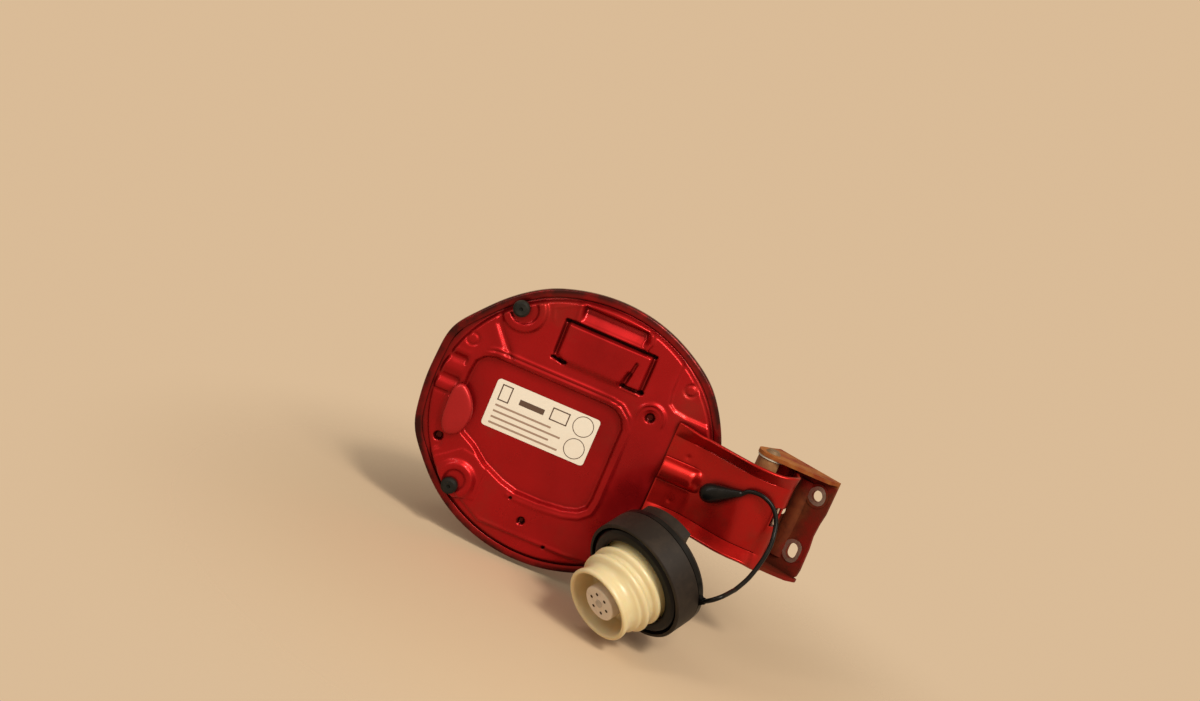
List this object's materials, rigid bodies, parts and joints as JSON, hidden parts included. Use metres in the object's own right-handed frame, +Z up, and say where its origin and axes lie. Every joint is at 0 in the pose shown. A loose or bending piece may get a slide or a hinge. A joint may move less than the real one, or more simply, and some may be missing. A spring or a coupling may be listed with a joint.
{
  "type": "car fuel door",
  "caption": "Round pressed car fuel door seen from its inner side, on a gooseneck hinge with a bolted body bracket, and a tethered threaded fuel filler cap.",
  "frame": {"origin": "middle of the upper round bolt hole of the body bracket, half way through its sheet, with the door standing as in the picture", "axes": "+X from the door's middle toward the bracket, +Z up along the hinge pin, the door's inner side faces -Y"},
  "size_m": [0.2463, 0.1158, 0.1676],
  "materials": {
    "paint": "red metallic paint under clear coat, dusty",
    "bracket_paint": "thin red paint over primer, rusty at the edges",
    "label_stock": "satin printed film",
    "bumper_rubber": "matte moulded rubber",
    "plated_steel": "dull zinc plate",
    "bush_plastic": "natural nylon",
    "spring_steel": "bare spring steel",
    "tether_plastic": "soft black plastic",
    "cap_plastic": "worn dark grey plastic",
    "gasket_rubber": "smooth oiled black rubber",
    "body_plastic": "yellowed natural acetal",
    "valve_plastic": "off-white acetal",
    "valve_brass": "turned brass"
  },
  "bodies": {
    "bracket": {"hinge_bracket": "bracket_paint", "hinge_pin": "plated_steel"},
    "door": {"outer_skin": "paint", "inner_panel": "paint", "striker_tongue": "paint", "label": "label_stock", "bumper_upper": "bumper_rubber", "bumper_lower": "bumper_rubber", "hinge_arm": "paint", "hinge_bush_upper": "bush_plastic", "hinge_bush_lower": "bush_plastic", "hinge_spring": "spring_steel", "tether_anchor": "tether_plastic", "tether_cord": "tether_plastic", "tether_ring": "tether_plastic"},
    "cap": {"cap_cover": "cap_plastic", "ratchet_spring": "spring_steel"},
    "cap_core": {"cap_body": "body_plastic", "cap_gasket": "gasket_rubber", "ratchet_ring": "bush_plastic", "valve_retainer": "valve_plastic"},
    "relief_valve": {"pressure_valve": "gasket_rubber", "pressure_spring": "spring_steel"},
    "vacuum_stem": {"vacuum_valve": "valve_brass", "vacuum_spring": "spring_steel"}
  },
  "joints": [
    {"name": "door_hinge", "type": "hinge", "parent": "bracket", "child": "door", "pos_m": [-0.03408, 0.00018, -0.0196], "axis": [0, 0, -1], "range_deg": [-36, 54]},
    {"name": "cap_swivel", "type": "hinge", "parent": "door", "child": "cap", "pos_m": [-0.08348, -0.06232, -0.0719], "axis": [-0.5182, -0.6742, -0.5262], "continuous": true},
    {"name": "cap_ratchet", "type": "hinge", "parent": "cap", "child": "cap_core", "pos_m": [-0.08348, -0.06232, -0.0719], "axis": [-0.5182, -0.6742, -0.5262], "continuous": true},
    {"name": "relief_lift", "type": "slide", "parent": "cap_core", "child": "relief_valve", "axis": [0.5182, 0.6742, 0.5262], "range_m": [0, 0.0015], "stiffness_N_per_m": 600, "springref_m": -0.001},
    {"name": "vacuum_lift", "type": "slide", "parent": "relief_valve", "child": "vacuum_stem", "axis": [-0.5182, -0.6742, -0.5262], "range_m": [0, 0.001], "stiffness_N_per_m": 200, "springref_m": -0.001}
  ]
}
